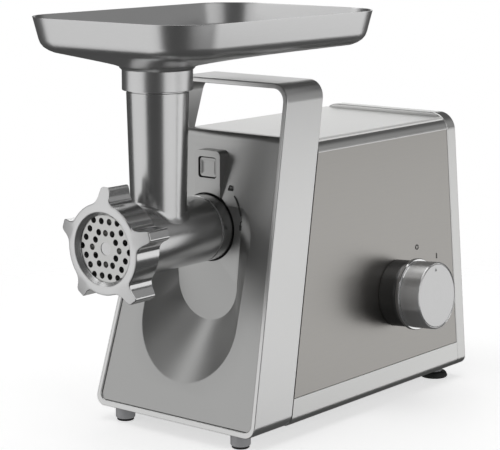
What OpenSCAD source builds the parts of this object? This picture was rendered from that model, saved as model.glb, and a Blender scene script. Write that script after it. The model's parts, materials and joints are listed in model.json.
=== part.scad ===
// Electric meat grinder: a motor base with a carrying handle, a twist-lock grinding head,
// a feed tray and a switch knob. Millimetres, +Z up, grinding head towards -Y.
// The origin is the centre of the footprint on the worktop.

/* [Body] */
// Width of the body where its sides would meet the worktop
body_w = 170; // [160:1:200]
// Height of the top plate
body_h = 233; // [225:1:250]
// Distance from the head's port back to the rear face
body_l = 257; // [245:1:300]
// Inward lean of each side, in degrees
side_lean = 4.4; // [3:0.1:5]
// Backward lean of the front, in degrees
front_lean = 14.5; // [12:0.1:16]
// Gap between the worktop and the underside
foot_gap = 12; // [10:1:16]

/* [Handle frame] */
// Height of the top of the handle
handle_h = 279; // [272:1:300]
// Thickness of the frame's band
band_t = 4.5; // [4:0.1:6]
// Depth of the frame's band, front to back
band_depth = 47; // [40:1:55]

/* [Grinding head] */
// Height of the barrel's axis
axis_h = 163; // [160:1:170]
// Outside diameter of the barrel
barrel_d = 53; // [52.6:0.1:53]
// Distance from the port forward to the feed tube's axis
tube_y = 58; // [54:1:62]
// Distance from the port forward to the front of the ring nut
ring_y = 122; // [118:1:130]
// Diameter of the cutting plate
plate_d = 61.6; // [60:0.1:62]
// Diameter of the plate's holes
hole_d = 5; // [3:0.5:5.5]
// Bore of the feed tube
feed_d = 40; // [36:1:42]

/* [Tray] */
// Width of the tray
tray_w = 176; // [150:1:190]
// Length of the tray
tray_l = 254; // [220:1:270]
// Height of the tray's rim
tray_h = 333; // [326:1:345]
// Distance from the feed tube's axis back to the middle of the tray
tray_back = 58.5; // [50:0.5:70]

/* [Knob] */
// Diameter of the knob
knob_d = 56; // [45:1:60]
// How far the knob stands out from the side
knob_out = 40; // [34:1:46]
// Distance of the knob behind the port
knob_y = 156; // [150:1:165]
// Height of the knob
knob_z = 93; // [85:1:100]

/* [Hidden] */
$fn = 64;
run = 0.06;          // running clearance on a radius
gap = 0.4;           // gap between neighbouring covers

wall = 3;
lean_t = tan(side_lean);
front_t = tan(front_lean);
front_y0 = -48.6;                       // front plane's place at worktop level
rear_rim = 13.6;                        // depth of the rear frame
rear_y = body_l - rear_rim;             // where the side panels end
fascia_back = 1.5;                      // fascia sits this far behind the frame's front edge
fascia_top = body_h + 5;
panel_z0 = foot_gap + 22;
panel_z1 = body_h - 10.5;
panel_t = 1.3;
top_half = body_w / 2 - body_h * lean_t - band_t;   // half width of the top plate

port_r = 27.8;
barrel_r = barrel_d / 2;
neck_r = 26.5;                          // rear end of the barrel, where it enters the port
bore_r = 22.5;                          // inside of the barrel
socket_r = 26.6;                        // inside of the port's socket
head_flange_r = 32.5;                   // threaded front of the head
plate_t = 5;
hole_pitch = 8;
inner_pitch = 6.9;                      // the inner ring of holes is drawn in
plate_y = -ring_y + 4.2;                // front face of the plate
tube_top = tray_h - 33;
collar_z = tray_h - 56;                 // lower end of the tray's collar
collar_r = 27.2;
nut_r = 35;
nut_tip_r = 46.7;
nut_depth = 26;
lug_count = 5;
twist_step = 120;                       // angle between bayonet lugs
twist = 50;                             // turn that unlocks the head
lug_r = 29.4;                           // reach of the bayonet lugs
latch_r = 29.2;                         // latch pin's distance from the barrel's axis
socket_or = 32.5;                       // outside of the port's socket

scoop_z = axis_h - 46;                  // centre of the round lower end of the port plate
scoop_r = 31;
scoop_out_z = axis_h - 72;
scoop_out_r = 49;

drive_z = axis_h;
stage_c = [12, 48, 2];                  // pinion teeth, wheel teeth, module
stage_b = [12, 48, 1.5];
stage_a = [12, 60, 1.25];
function centre_gap(s) = (s[0] + s[1]) * s[2] / 2;
dir_c = 240;                            // direction from output shaft to second shaft
dir_b = -10;                            // direction from second shaft to first shaft
shaft2 = [centre_gap(stage_c) * cos(dir_c), drive_z + centre_gap(stage_c) * sin(dir_c)];
shaft1 = shaft2 + centre_gap(stage_b) * [cos(dir_b), sin(dir_b)];
motor_c = [0, shaft1[1] - sqrt(pow(centre_gap(stage_a), 2) - pow(shaft1[0], 2))];
dir_a = atan2(motor_c[1] - shaft1[1], motor_c[0] - shaft1[0]);
case_y0 = 36;
case_y1 = 92;
motor_y0 = 98;
motor_y1 = 186;
motor_r = 40;

knob_base = 18;                         // height of the fixed bezel under the knob
knob_x = body_w / 2 - knob_z * lean_t;
knob_reach = knob_x + knob_out * cos(side_lean) + knob_d / 2 * sin(side_lean);
foot_x = body_w / 2 - 24;
front_foot_y = -33;
rear_foot_y = body_l - 17;

mid_x = (knob_reach - tray_w / 2) / 2;
front_end = tube_y - tray_back + tray_l / 2;
mid_y = (body_l - front_end) / 2;

base_y0 = front_y0 + foot_gap * front_t + band_depth + 4;   // front end of the base plate

function half_w(z) = body_w / 2 - z * lean_t;
function front_y(z) = front_y0 + z * front_t;

// Moves the machine, drawn about the port, so that the origin is under its middle
module place() {
    translate([-mid_x, -mid_y, 0]) children();
}

// Sweeps an outline drawn in X and Z along Y
module along_y(y0, y1) {
    translate([0, y1, 0]) rotate([90, 0, 0]) linear_extrude(y1 - y0) children();
}

// Sweeps an outline drawn in Y and Z along X
module along_x(x0, x1) {
    translate([x0, 0, 0]) rotate([90, 0, 90]) linear_extrude(x1 - x0) children();
}

// A round bar along Y at a place in X and Z
module bar_y(at, y0, y1, r) {
    translate([at[0], y1, at[1]]) rotate([90, 0, 0]) cylinder(h = y1 - y0, r = r);
}

// Cross section of the body: sides lean in, corners rounded
module section(z0, z1, inset, r_low, r_top) {
    hull() for (s = [-1, 1]) {
        translate([s * (half_w(z0 + r_low) - inset - r_low / cos(side_lean)), z0 + r_low])
            circle(r_low);
        translate([s * (half_w(z1 - r_top) - inset - r_top / cos(side_lean)), z1 - r_top])
            circle(r_top);
    }
}

// Everything in front of the leaning front plane, moved back by an offset
module ahead_of(offset_y) {
    translate([0, front_y0 + offset_y, 0]) rotate([-front_lean, 0, 0])
        translate([-200, -300, -100]) cube([400, 300, 600]);
}

// Everything behind the leaning front plane, moved back by an offset
module behind(offset_y) {
    translate([0, front_y0 + offset_y, 0]) rotate([-front_lean, 0, 0])
        translate([-200, 0, -100]) cube([400, 300, 600]);
}

// Frame on the leaning side wall: X points out of the wall, at a height z
module on_side(z, y) {
    translate([half_w(z), y, z]) rotate([0, -side_lean, 0]) children();
}

// ---- casing

module housing_shell() {
    color("silver") place() difference() {
        union() {
            difference() {
                along_y(-40, rear_y) section(foot_gap, body_h, 0, 7, 10);
                ahead_of(band_depth + gap);
            }
            difference() {
                along_y(-60, 90) section(foot_gap + band_t + gap, body_h - 4, band_t + gap, 5, 5);
                ahead_of(fascia_back + wall + gap);
            }
        }
        difference() {
            along_y(-80, rear_y + 1) section(foot_gap + wall, body_h - wall, wall, 4, 7);
            ahead_of(band_depth + gap + wall);
        }
        along_y(-80, 100)
            section(foot_gap + band_t + wall, body_h - 7.5, band_t + gap + wall - 0.5, 4, 4);
        side_recess();
        mirror([1, 0, 0]) side_recess();
        translate([-top_half - gap, -60, body_h - 2.2])
            cube([2 * top_half + 2 * gap, body_l + 60, 10]);
        translate([-top_half + 6, 30, body_h - 40]) cube([2 * top_half - 12, 180, 60]);
        translate([-55, -10, 0]) cube([110, 240, 30]);
        translate([-70, base_y0 - gap, foot_gap - 1])
            cube([140, rear_y - 3.6 - base_y0, wall + 1.2]);
        translate([-70, -80, 30]) cube([140, 100, 175]);
        on_side(knob_z, knob_y) rotate([0, 90, 0]) translate([0, 0, -20]) cylinder(h = 30, r = 8);
        foot_holes(2.2);
    }
}

module side_recess() {
    difference() {
        along_y(-60, rear_y + 1) polygon([
            [half_w(panel_z0 - gap) - panel_t - 0.5, panel_z0 - gap],
            [half_w(panel_z0 - gap) + 5, panel_z0 - gap],
            [half_w(panel_z1 + gap) + 5, panel_z1 + gap],
            [half_w(panel_z1 + gap) - panel_t - 0.5, panel_z1 + gap]]);
        ahead_of(band_depth + gap - 1);
    }
}

module side_panel() {
    difference() {
        along_y(-60, rear_y - 2 * gap) polygon([
            [half_w(panel_z0) - panel_t - 0.3, panel_z0],
            [half_w(panel_z0) - 0.3, panel_z0],
            [half_w(panel_z1) - 0.3, panel_z1],
            [half_w(panel_z1) - panel_t - 0.3, panel_z1]]);
        ahead_of(band_depth + 2 * gap);
    }
}

module side_panel_right() {
    color("darkgray") place() difference() {
        side_panel();
        on_side(knob_z, knob_y) rotate([0, 90, 0]) translate([0, 0, -20]) cylinder(h = 30, r = 10);
    }
}

module side_panel_left() {
    color("darkgray") place() mirror([1, 0, 0]) side_panel();
}

module top_plate() {
    color("silver") place()
        translate([-top_half, front_y(fascia_top) + 16, body_h - 2])
            cube([2 * top_half, rear_y - gap - front_y(fascia_top) - 16, 2]);
}

module arch_frame() {
    color("gainsboro") place() difference() {
        along_y(-60, 120) difference() {
            section(foot_gap, handle_h, 0, 9, 16);
            section(foot_gap + band_t, handle_h - band_t + 0.5, band_t, 6, 12);
        }
        ahead_of(0);
        behind(band_depth);
        foot_holes(2.2);
    }
}

// Outline in Y and Z of the fascia, rolled over at its top
module fascia_profile(inset, back) {
    r = 7 - inset;
    top_z = fascia_top - 7;
    low_z = foot_gap + band_t + gap - inset;
    y_top = front_y(top_z) + fascia_back + 7 / cos(front_lean);
    hull() {
        translate([y_top, top_z]) circle(r);
        translate([y_top + back, top_z]) square([1, r]);
        translate([front_y(low_z) + fascia_back + inset / cos(front_lean), low_z]) square([1, 1]);
        translate([y_top + back, low_z]) square([1, 1]);
    }
}

module scoop_outline(r, z, top, half_top, soft) {
    hull() {
        translate([0, z]) circle(r);
        for (sx = [-1, 1])
            translate([sx * (half_top - soft), top - soft]) circle(soft);
    }
}

// The hollow under the barrel, flaring forward from the port plate to the leaning front
module scoop_void(grow) {
    hull() {
        translate([0, grow > 0 ? 1 : 0, 0]) along_y(-0.1, 0)
            scoop_outline(scoop_r + grow, scoop_z, axis_h + 28, 35 + grow, 8);
        multmatrix([[1, 0, 0, 0], [0, 1, front_t, front_y0 - 2 + (grow > 0 ? 4.6 : 0)],
            [0, 0, 1, 0], [0, 0, 0, 1]])
            along_y(-0.1, 0)
                scoop_outline(scoop_out_r + grow, scoop_out_z, axis_h + 34, scoop_out_r + grow, 26);
    }
}

module front_fascia() {
    color("gray") place() difference() {
        union() {
            intersection() {
                along_x(-100, 100) difference() {
                    fascia_profile(0, 4);
                    fascia_profile(wall, 12);
                }
                along_y(-80, 80)
                    section(foot_gap + band_t + gap, handle_h, band_t + gap, 6, 12);
            }
            intersection() {
                scoop_void(3);
                along_y(-80, 3) section(foot_gap + band_t + gap, axis_h + 40, band_t + 4, 6, 12);
            }
            along_y(0, 24) hull() {
                translate([-13, axis_h + 20]) square([26, 1]);
                for (s = [-1, 1]) translate([s * 9, axis_h + 57.5]) circle(4);
            }
        }
        scoop_void(0);
        bar_y([0, axis_h], -50, 60, port_r);
        bar_y([0, axis_h], 3, 60, 34);
        translate([-9.4, -10, axis_h + 39.4]) cube([18.8, 18.2, 17]);
        translate([-11, 9.4, axis_h + 38]) cube([22, 30, 19.5]);
        translate([-8, 12, axis_h + 20]) cube([16, 20, 30]);
        bar_y([0, axis_h + 48.5], -5, 60, 4.3);
    }
}

module rear_frame() {
    color("gainsboro") place() difference() {
        along_y(rear_y, body_l) section(foot_gap, body_h + 3, 0, 7, 16);
        along_y(rear_y - 1, body_l + 1) section(foot_gap + 6, body_h - 3, 6, 5, 10);
        foot_holes(2.2);
    }
}

module rear_panel() {
    color("dimgray") place() difference() {
        along_y(body_l - 9, body_l - 6) section(foot_gap + 6 + gap, body_h - 3 - gap, 6 + gap, 5, 10);
        for (i = [0:8]) translate([-35, body_l - 20, 118 + i * 9]) cube([70, 30, 4]);
        bar_y([0, 50], body_l - 20, body_l + 1, 8);
        for (x = [-55, 55], z = [32, 205]) bar_y([x, z], body_l - 20, body_l, 2);
    }
}

module base_plate() {
    color("dimgray") place() difference() {
        translate([-69.5, base_y0, foot_gap + 0.2])
            cube([139, rear_y - 4.4 - base_y0, 2.6]);
        for (i = [0:7]) translate([-30, 110 + i * 9, 0]) cube([60, 4, 30]);
        foot_holes(2.2);
    }
}

module foot_holes(r) {
    for (s = [-1, 1], y = [front_foot_y, rear_foot_y])
        translate([s * foot_x, y, 1]) cylinder(h = 22, r = r);
}

module front_feet() {
    color("gray") place() for (s = [-1, 1]) translate([s * foot_x, front_foot_y, 2]) {
        cylinder(h = foot_gap - 2, r = 8);
        cylinder(h = foot_gap + 8, r = 2);
    }
}

module rear_feet() {
    color("gray") place() for (s = [-1, 1]) translate([s * foot_x, rear_foot_y, 5]) {
        cylinder(h = foot_gap - 5, r = 7);
        cylinder(h = foot_gap + 5, r = 2);
    }
}

module foot_pads() {
    color("black") place() for (s = [-1, 1]) {
        translate([s * foot_x, front_foot_y, 0]) cylinder(h = 2, r = 7);
        translate([s * foot_x, rear_foot_y, 0]) cylinder(h = 5, r1 = 12, r2 = 11);
    }
}

module case_screws() {
    color("dimgray") place() for (x = [-55, 55], z = [32, 205]) {
        bar_y([x, z], body_l - 6, body_l - 4, 3.6);
        bar_y([x, z], body_l - 16, body_l - 6, 1.9);
    }
}

module cord_gland() {
    color("black") place() difference() {
        union() {
            bar_y([0, 50], body_l - 14, body_l - 1, 7.8);
            bar_y([0, 50], body_l - 6, body_l - 3, 11);
        }
        bar_y([0, 50], body_l - 15, body_l, 3.6);
    }
}

// ---- port, latch and button

module head_socket() {
    color("silver") place() difference() {
        union() {
            bar_y([0, axis_h], 3, 30, socket_or);
            bar_y([0, axis_h], 28, 32, socket_or + 0.8);
        }
        bar_y([0, axis_h], -1, 28, socket_r);
        bar_y([0, axis_h], 9.6, 18.4, lug_r + 0.9);
        for (a = [0:twist_step:359]) translate([0, 0, axis_h]) rotate([0, a + twist, 0])
            translate([-6, 2, 24]) cube([12, 9, lug_r - 23.1]);
        bar_y([0, axis_h], 20, 40, 13);
        bar_y([0, axis_h + latch_r], 12.4, 40, 2.5 + run);
        translate([-6.5, 20, axis_h + latch_r - 2.9]) cube([13, 14, 10]);
    }
}

module port_gasket() {
    color("black") place() difference() {
        bar_y([0, axis_h], 0.8, 2.8, port_r - 0.1);
        bar_y([0, axis_h], 0, 4, neck_r + 0.35);
    }
}

module release_button() {
    color("gray") place() {
        along_y(1.2, 3.8) hull() for (s = [-1, 1], z = [5, -5.8])
            translate([s * 6, axis_h + 48.5 + z]) circle(2.8);
        bar_y([0, axis_h + 48.5], 3.8, 21, 3.9);
    }
}

module latch_pin() {
    color("silver") place() {
        translate([-6, 21, axis_h + latch_r - 2.4]) cube([12, 3, 26]);
        bar_y([0, axis_h + latch_r], 13.2, 21, 2.5);
    }
}

module button_spring() {
    color("silver") place() for (i = [0:5]) translate([0, 25 + i * 2, axis_h + 48.5])
        rotate([90, 0, 0]) rotate_extrude() translate([5.6, 0]) circle(r = 0.6, $fn = 16);
}

// ---- gear train and motor

function inv(r, base) = r <= base ? 0 : tan(acos(base / r)) * 180 / PI - acos(base / r);

// Involute spur gear outline with a tooth centred on +X
module gear(teeth, m, phase) {
    pitch = teeth * m / 2;
    base = pitch * cos(20);
    root = pitch - 1.2 * m;
    tip = pitch + 0.9 * m;
    half = 90 / teeth - 0.16 * 180 / PI / pitch + inv(pitch, base);
    radii = [root, max(base, root + 0.05), pitch, (pitch + tip) / 2, tip];
    step = 360 / teeth;
    polygon([for (i = [0:teeth - 1]) each concat(
        [for (k = [0:4]) let (a = i * step + phase - half + inv(radii[k], base))
            radii[k] * [cos(a), sin(a)]],
        [for (k = [4:-1:0]) let (a = i * step + phase + half - inv(radii[k], base))
            radii[k] * [cos(a), sin(a)]])]);
}

module gear_y(at, y0, y1, teeth, m, phase) {
    translate([at[0], y1, at[1]]) rotate([90, 0, 0]) linear_extrude(y1 - y0)
        gear(teeth, m, phase);
}

module case_outline(inset) {
    hull() {
        translate([0, drive_z]) circle(54 - inset);
        translate(shaft2) circle(42 - inset);
        translate(shaft1) circle(42.6 - inset);
        translate(motor_c) circle(24 - inset);
    }
}

case_bolts = [[-46, drive_z + 18], [46, drive_z + 18], [-61, shaft2[1] - 4], [45, shaft1[1] - 20],
    [-14, motor_c[1] - 17.5]];

module gear_case() {
    color("dimgray") place() difference() {
        along_y(case_y0, case_y1 - 4) case_outline(0);
        along_y(case_y0 + 4, case_y1) case_outline(3);
        bar_y([0, drive_z], case_y0 - 1, case_y0 + 5, 16.05);
        bar_y(shaft2, case_y0 + 1, case_y0 + 5, 8.05);
    }
}

module gear_cover() {
    color("dimgray") place() difference() {
        along_y(case_y1 - 4, case_y1) case_outline(0);
        bar_y(shaft2, case_y1 - 5, case_y1 - 1, 8.05);
        bar_y(shaft1, case_y1 - 5, case_y1 - 1, 8.05);
        bar_y(motor_c, case_y1 - 5, case_y1 + 1, 11.05);
        for (b = [[-30, drive_z + 42], [30, drive_z + 42], [14, motor_c[1] - 21.5]])
            bar_y(b, case_y1 - 5, case_y1 + 1, 1.6);
    }
}

module gear_screws() {
    color("silver") place()
        for (b = [[-30, drive_z + 42], [30, drive_z + 42], [14, motor_c[1] - 21.5]]) {
            bar_y(b, case_y1, case_y1 + 2, 3);
            bar_y(b, case_y1 - 4, case_y1, 1.5);
        }
}

module ring_bearing(at, y0, y1, r_out, r_in) {
    difference() {
        bar_y(at, y0, y1, r_out);
        bar_y(at, y0 - 1, y1 + 1, r_in + run);
    }
}

module bearings() {
    color("goldenrod") place() {
        ring_bearing([0, drive_z], case_y0, case_y0 + 4, 16, 11);
        ring_bearing(shaft2, case_y0 + 1, case_y0 + 4, 8, 5);
        ring_bearing(shaft2, case_y1 - 4, case_y1 - 1.2, 8, 5);
        ring_bearing(shaft1, case_y1 - 4, case_y1 - 1.2, 8, 4);
        ring_bearing(motor_c, case_y1 - 4, case_y1, 11, 4);
        ring_bearing(motor_c, motor_y1 + 2, motor_y1 + 6, 11, 4);
    }
}

module output_shaft() {
    color("silver") place() difference() {
        union() {
            bar_y([0, drive_z], 21, case_y0, 12);
            bar_y([0, drive_z], case_y0, case_y0 + 5, 11);
            bar_y([0, drive_z], case_y0 + 5, case_y0 + 24, 9);
        }
        translate([0, 33, drive_z]) rotate([90, 0, 0]) cylinder(h = 20, r = 7.6, $fn = 6);
    }
}

module output_gear() {
    color("gainsboro") place() difference() {
        gear_y([0, drive_z], 41, 54, stage_c[1], stage_c[2], dir_c);
        bar_y([0, drive_z], 30, 70, 9);
    }
}

module second_gear() {
    color("gainsboro") place() {
        gear_y(shaft2, 41, 56, stage_c[0], stage_c[2], dir_c + 180 + 180 / stage_c[0]);
        gear_y(shaft2, 60, 70, stage_b[1], stage_b[2], dir_b);
        bar_y(shaft2, case_y0 + 1.4, case_y1 - 1.6, 5);
    }
}

module first_gear() {
    color("ivory") place() {
        gear_y(shaft1, 59, 71.5, stage_b[0], stage_b[2], dir_b + 180 + 180 / stage_b[0]);
        gear_y(shaft1, 75, 84, stage_a[1], stage_a[2], dir_a);
        bar_y(shaft1, 58, case_y1 - 1.6, 4);
    }
}

module motor_pinion() {
    color("gainsboro") place() difference() {
        gear_y(motor_c, 74, 86, stage_a[0], stage_a[2], dir_a + 180 + 180 / stage_a[0]);
        bar_y(motor_c, 70, 90, 4);
    }
}

module rotor() {
    color("silver") place() {
        bar_y(motor_c, 73, motor_y1 + 20, 4);
        difference() {
            bar_y(motor_c, motor_y0 + 14, motor_y0 + 60, 22);
            for (i = [0:11]) translate([motor_c[0], 0, motor_c[1]]) rotate([0, i * 30, 0])
                translate([-1.5, motor_y0 + 10, 13]) cube([3, 60, 12]);
        }
    }
}

module commutator() {
    color("peru") place() difference() {
        bar_y(motor_c, motor_y1 - 20, motor_y1 - 6, 11);
        bar_y(motor_c, motor_y1 - 30, motor_y1, 4);
    }
}

module stator() {
    color("dimgray") place() difference() {
        bar_y(motor_c, motor_y0 + 12, motor_y0 + 62, motor_r - 2);
        bar_y(motor_c, motor_y0, motor_y1, 23);
        for (s = [-1, 1]) translate([s * 30 + motor_c[0] - 4, motor_y0, motor_c[1] - 9])
            cube([8, 80, 18]);
    }
}

module motor_can() {
    color("gray") place() difference() {
        bar_y(motor_c, motor_y0, motor_y1, motor_r);
        bar_y(motor_c, motor_y0 - 1, motor_y1 + 1, motor_r - 2);
    }
}

module end_bells() {
    color("gray") place() {
        difference() {
            bar_y(motor_c, case_y1, motor_y0, motor_r - 1);
            bar_y(motor_c, case_y1 + 2, motor_y0 + 1, motor_r - 4);
            bar_y(motor_c, case_y1 - 1, motor_y0, 11.05);
            bar_y([14, motor_c[1] - 21.5], case_y1 - 1, motor_y0, 3.4);
        }
        difference() {
            bar_y(motor_c, motor_y1, motor_y1 + 6, motor_r);
            bar_y(motor_c, motor_y1 - 1, motor_y1 + 8, 11.05);
            for (a = [0:60:359]) translate([motor_c[0], 0, motor_c[1]]) rotate([0, a, 0])
                bar_y([0, 26], motor_y1 - 1, motor_y1 + 8, 7);
        }
    }
}

module brush_holders() {
    color("peru") place() for (s = [-1, 1])
        translate([motor_c[0] + s * 24.2 - 12.7, motor_y1 - 17, motor_c[1] - 4]) cube([25.4, 8, 8]);
}

module fan() {
    color("black") place() difference() {
        union() {
            bar_y(motor_c, motor_y1 + 9, motor_y1 + 18, 10);
            bar_y(motor_c, motor_y1 + 9, motor_y1 + 10.5, 33);
            for (a = [0:40:359]) translate([motor_c[0], 0, motor_c[1]]) rotate([0, a, 0])
                translate([-0.8, motor_y1 + 10, 8]) cube([1.6, 8, 24]);
        }
        bar_y(motor_c, motor_y1, motor_y1 + 30, 4);
    }
}

module control_board() {
    color("darkgreen") place() {
        translate([-60, 196, 130]) cube([90, 1.6, 60]);
        for (x = [-48, -22, 6]) translate([x, 197.6, 150]) cube([14, 14, 18]);
    }
}

// ---- switch and knob

module on_knob() {
    on_side(knob_z, knob_y) rotate([0, 90, 0]) children();
}

module switch_body() {
    color("black") place() on_knob() difference() {
        translate([-17, -17, -30]) cube([34, 34, 26]);
        translate([0, 0, -26]) cylinder(h = 30, r = 5 + run);
    }
}

module knob_bezel() {
    color("dimgray") place() on_knob() difference() {
        union() {
            translate([0, 0, -0.25]) cylinder(h = knob_base - 1, r = knob_d / 2);
            translate([0, 0, -3.5]) cylinder(h = 4, r = 7.9);
        }
        translate([0, 0, 3]) cylinder(h = 30, r = knob_d / 2 - 3);
        translate([0, 0, -5]) cylinder(h = 10, r = 5.6);
    }
}

module knob_shaft() {
    color("silver") place() on_knob() translate([0, 0, -25]) cylinder(h = 46, r = 5);
}

module knob_body() {
    color("silver") place() on_knob() difference() {
        union() {
            translate([0, 0, knob_base + 3.4]) cylinder(h = knob_out - knob_base - 3.4, r = knob_d / 2);
            translate([0, 0, 6]) cylinder(h = knob_base, r = 10);
        }
        translate([0, 0, knob_out - 1]) cylinder(h = 2, r = knob_d / 2 - 1.2);
        translate([0, 0, 0]) cylinder(h = 21, r = 5);
    }
}

module knob_flange() {
    color("white") place() on_knob() difference() {
        translate([0, 0, knob_base]) cylinder(h = 3, r = knob_d / 2 + 2);
        translate([0, 0, knob_base - 1]) cylinder(h = 6, r = 10);
    }
}

module knob_cap() {
    color("gray") place() on_knob() translate([0, 0, knob_out - 1])
        cylinder(h = 0.6, r = knob_d / 2 - 1.4);
}

// ---- grinding head

module head_casting() {
    color("silver") place() difference() {
        union() {
            bar_y([0, axis_h], -ring_y + 4.5, -ring_y + nut_depth - 1, head_flange_r);
            bar_y([0, axis_h], -ring_y + nut_depth - 2, -4, barrel_r);
            bar_y([0, axis_h], -4.5, 3.6, neck_r);
            bar_y([0, axis_h], 3, 19, socket_r - run);
            translate([0, -tube_y, axis_h]) {
                cylinder(h = 40, r = 22);
                translate([0, 0, 30]) cylinder(h = collar_z - axis_h - 30.4, r1 = 21.9, r2 = 24.1);
                translate([0, 0, 60]) cylinder(h = tube_top - axis_h - 60, r = 23.4);
            }
            translate([-1.6, -tube_y + 20, axis_h + 20]) cube([3.2, 7.5, collar_z - axis_h - 26]);
            for (a = [0:twist_step:359]) translate([0, 0, axis_h]) rotate([0, a, 0])
                translate([-5, 11, 20]) cube([10, 6, lug_r - 20]);
        }
        bar_y([0, axis_h], -ring_y, -10, bore_r);
        bar_y([0, axis_h], -ring_y, plate_y + plate_t, plate_d / 2 + 0.1);
        bar_y([0, axis_h], -12, 30, 9);
        bar_y([0, axis_h], 6, 30, 20);
        translate([0, -tube_y, axis_h]) cylinder(h = 60, r = feed_d / 2 - 0.8);
        translate([0, -tube_y, axis_h + 37]) cylinder(h = tube_top, r = feed_d / 2);
        translate([-1.5, -ring_y, axis_h - plate_d / 2 - 1.4]) cube([3, 11.4, 3]);
        bar_y([0, axis_h + latch_r], 10, 30, 2.8);
        translate([-6, 10, axis_h + latch_r - 2.8]) cube([6, 20, 6]);
    }
}

module rear_bush() {
    color("goldenrod") place() difference() {
        bar_y([0, axis_h], -9.8, 6, 9);
        bar_y([0, axis_h], -11, 7, 7 + run);
    }
}

module cutting_plate() {
    color("lightgray") place() difference() {
        union() {
            bar_y([0, axis_h], plate_y, plate_y + plate_t, plate_d / 2);
            translate([-1.2, plate_y, axis_h - plate_d / 2 - 1]) cube([2.4, plate_t, 3]);
        }
        bar_y([0, axis_h], plate_y - 1, plate_y + plate_t + 1, 5 + run);
        for (i = [-3:3], j = [-3:3]) if (abs(i + j) <= 3 && max(abs(i), abs(j), abs(i + j)) > 1) {
            pitch = max(abs(i), abs(j), abs(i + j)) == 3 ? hole_pitch : inner_pitch;
            bar_y([pitch * (i + j / 2), axis_h + pitch * j * sin(60)], plate_y - 1,
                plate_y + plate_t + 1, hole_d / 2);
        }
    }
}

module knife() {
    color("lightgray") place() difference() {
        union() {
            bar_y([0, axis_h], plate_y + plate_t + 0.3, plate_y + plate_t + 8.3, 10);
            for (a = [0:90:359]) translate([0, 0, axis_h]) rotate([0, a, 0])
                translate([-2, plate_y + plate_t + 0.3, 0]) cube([6, 4, 21]);
        }
        bar_y([0, axis_h], plate_y, plate_y + plate_t + 20, 5);
    }
}

module auger() {
    len = -16 - plate_y - plate_t - 9;
    color("lightgray") place() {
        bar_y([0, axis_h], plate_y + 0.4, plate_y + plate_t + 10, 5);
        bar_y([0, axis_h], plate_y + plate_t + 8.4, -10.4, 10);
        bar_y([0, axis_h], -11, 21.5, 7);
        translate([0, 32, axis_h]) rotate([90, 0, 0]) cylinder(h = 12, r = 7.2, $fn = 6);
        translate([0, -14, axis_h]) rotate([90, 0, 0])
            linear_extrude(height = len, twist = 720, slices = 48, convexity = 6)
                translate([8, -3.5]) square([13.4, 7]);
    }
}

module nut_outline() {
    circle(nut_r);
    for (i = [0:lug_count - 1]) rotate(90 + i * 360 / lug_count)
        polygon([[nut_r - 3, -12], [nut_r - 0.7, -8.6], [nut_r + 0.7, -7.2], [nut_r + 2.8, -6.1],
            [nut_r + 5.2, -5.3], [nut_tip_r - 1.4, -4.2], [nut_tip_r, -3], [nut_tip_r, 3],
            [nut_tip_r - 1.4, 4.2], [nut_r + 5.2, 5.3], [nut_r + 2.8, 6.1], [nut_r + 0.7, 7.2],
            [nut_r - 0.7, 8.6], [nut_r - 3, 12]]);
}

module ring_nut() {
    color("gainsboro") place() difference() {
        translate([0, -ring_y + nut_depth, axis_h]) rotate([90, 0, 0])
            linear_extrude(nut_depth) nut_outline();
        bar_y([0, axis_h], -ring_y + 3, 0, 25.2);
        bar_y([0, axis_h], -ring_y + 3.9, 0, head_flange_r + 0.1);
        translate([0, -ring_y + 3.9, axis_h]) rotate([90, 0, 0])
            cylinder(h = 4.9, r1 = 25.2, r2 = 29.35);
    }
}

// ---- tray

module tray_ring(z, inset, r) {
    for (sx = [-1, 1], sy = [-1, 1])
        translate([sx * (tray_w / 2 - inset - r), -tube_y + tray_back + sy * (tray_l / 2 - inset - r), z])
            cylinder(h = 0.1, r = r, $fn = 32);
}

module tray_body(t, lift) {
    hull() {
        tray_ring(tray_h - 0.1 + lift, t, 40 - t);
        tray_ring(tray_h - 17 + lift, 4 + t, 37 - t);
        tray_ring(tray_h - 25 + lift, 9.5 + t, 32 - t);
        tray_ring(tray_h - 28 + lift, 17 + t, 26 - t);
        translate([0, -tube_y, tray_h - 37 + lift]) cylinder(h = 0.1, r = 30 - t, $fn = 32);
    }
}

module tray() {
    color("gainsboro") place() difference() {
        union() {
            difference() {
                tray_body(0, 0);
                tray_body(1.3, 1.3);
            }
            translate([0, -tube_y, collar_z]) cylinder(h = tray_h - 35.6 - collar_z, r = collar_r);
            translate([-2, -tube_y + 24.6, collar_z + 3]) cube([4, 4.6, tray_h - 38 - collar_z]);
        }
        translate([0, -tube_y, collar_z - 1]) cylinder(h = 60, r = 23.8);
    }
}

housing_shell();
front_fascia();
arch_frame();
rear_frame();
rear_panel();
side_panel_left();
side_panel_right();
top_plate();
base_plate();
front_feet();
rear_feet();
foot_pads();
case_screws();
head_socket();
port_gasket();
cord_gland();
gear_case();
gear_cover();
gear_screws();
bearings();
motor_can();
stator();
end_bells();
brush_holders();
control_board();
switch_body();
knob_bezel();
rotor();
commutator();
fan();
motor_pinion();
first_gear();
second_gear();
output_gear();
output_shaft();
auger();
knife();
head_casting();
rear_bush();
cutting_plate();
ring_nut();
tray();
release_button();
latch_pin();
button_spring();
knob_body();
knob_flange();
knob_cap();
knob_shaft();
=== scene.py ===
import json
import math

import bmesh
import bpy
from mathutils import Matrix, Vector


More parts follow.
